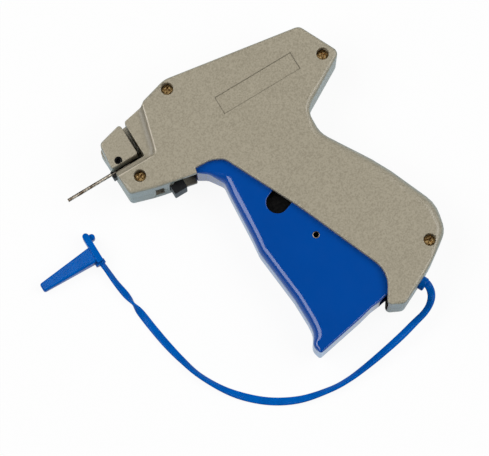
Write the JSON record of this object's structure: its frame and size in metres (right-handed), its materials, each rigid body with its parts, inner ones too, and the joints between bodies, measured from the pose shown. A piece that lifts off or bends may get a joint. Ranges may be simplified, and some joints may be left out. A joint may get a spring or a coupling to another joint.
{
  "type": "garment tag attacher",
  "caption": "Pistol-shaped hand tool that pushes plastic tag fasteners through cloth with a hollow needle; blue trigger and tethered needle cap.",
  "frame": {"origin": "centre of the tool's box, cap and strap left out, on the surface it lies on", "axes": "+X from the needle's tip to the back of the barrel, +Y from the grip's end to the top of the barrel, +Z out of the left side"},
  "size_m": [0.1597, 0.1491, 0.025],
  "materials": {
    "shell": "fine satin grain",
    "cover": "fine satin grain",
    "black_steel": "satin black",
    "screw_brass": "yellow passivated",
    "trigger_blue": "polished",
    "steel": "ground",
    "roll_pin": "rolled, dull",
    "black_plastic": "satin",
    "spring_steel": "bright wire",
    "needle_steel": "polished",
    "wheel_brass": "plain",
    "cap_blue": "moulded",
    "strap_blue": "soft, flexible"
  },
  "bodies": {
    "housing": {"left_shell": "shell", "right_shell": "shell", "nose_cover": "cover", "clamp_screw": "black_steel", "housing_screws": "screw_brass", "trigger_pin": "steel", "arm_pin": "steel", "rod_guide": "black_plastic", "return_spring": "spring_steel", "needle": "needle_steel", "needle_base": "black_plastic", "knife": "steel", "button_spring": "spring_steel", "wheel_shaft": "steel", "pawl_pin": "steel", "pawl_spring": "spring_steel", "detent_spring": "spring_steel", "needle_cap": "cap_blue", "cap_strap": "strap_blue", "strap_plug": "cap_blue"},
    "trigger": {"trigger": "trigger_blue", "link_pin": "roll_pin"},
    "drive_arm": {"drive_arm": "black_steel"},
    "pusher": {"pusher_slide": "black_plastic", "slide_pin": "steel", "pusher_rod": "steel"},
    "feed_wheel": {"feed_wheel": "wheel_brass"},
    "feed_pawl": {"feed_pawl": "black_steel"},
    "release_button": {"release_button": "black_plastic"}
  },
  "joints": [
    {"name": "trigger_squeeze", "type": "hinge", "parent": "housing", "child": "trigger", "pos_m": [-0.00135, 0.03158, 0.0125], "axis": [0, 0, 1], "range_deg": [0, 22]},
    {"name": "arm_turn", "type": "hinge", "parent": "housing", "child": "drive_arm", "pos_m": [0.02112, 0.00399, 0.0125], "axis": [0, 0, 1], "range_deg": [0, 51.31]},
    {"name": "pusher_travel", "type": "slide", "parent": "housing", "child": "pusher", "axis": [-1, 0, 0], "range_m": [0, 0.04235], "stiffness_N_per_m": 150, "springref_m": -0.012, "deforming": ["return_spring"]},
    {"name": "wheel_turn", "type": "hinge", "parent": "housing", "child": "feed_wheel", "pos_m": [-0.02275, 0.03748, 0.0125], "axis": [0, 0, 1], "continuous": true},
    {"name": "pawl_swing", "type": "hinge", "parent": "housing", "child": "feed_pawl", "pos_m": [-0.01015, 0.04048, 0.0125], "axis": [0, 0, 1], "range_deg": [0, 10], "stiffness_Nm_per_rad": 0.01},
    {"name": "button_press", "type": "slide", "parent": "housing", "child": "release_button", "axis": [0, 1, 0], "range_m": [0, 0.0016], "stiffness_N_per_m": 500, "springref_m": -0.001, "deforming": ["button_spring"]}
  ],
  "couplings": [
    {"joint": "arm_turn", "follows": "trigger_squeeze", "ratio": 2.33},
    {"joint": "pusher_travel", "follows": "trigger_squeeze", "m_per_rad": 0.11018}
  ]
}
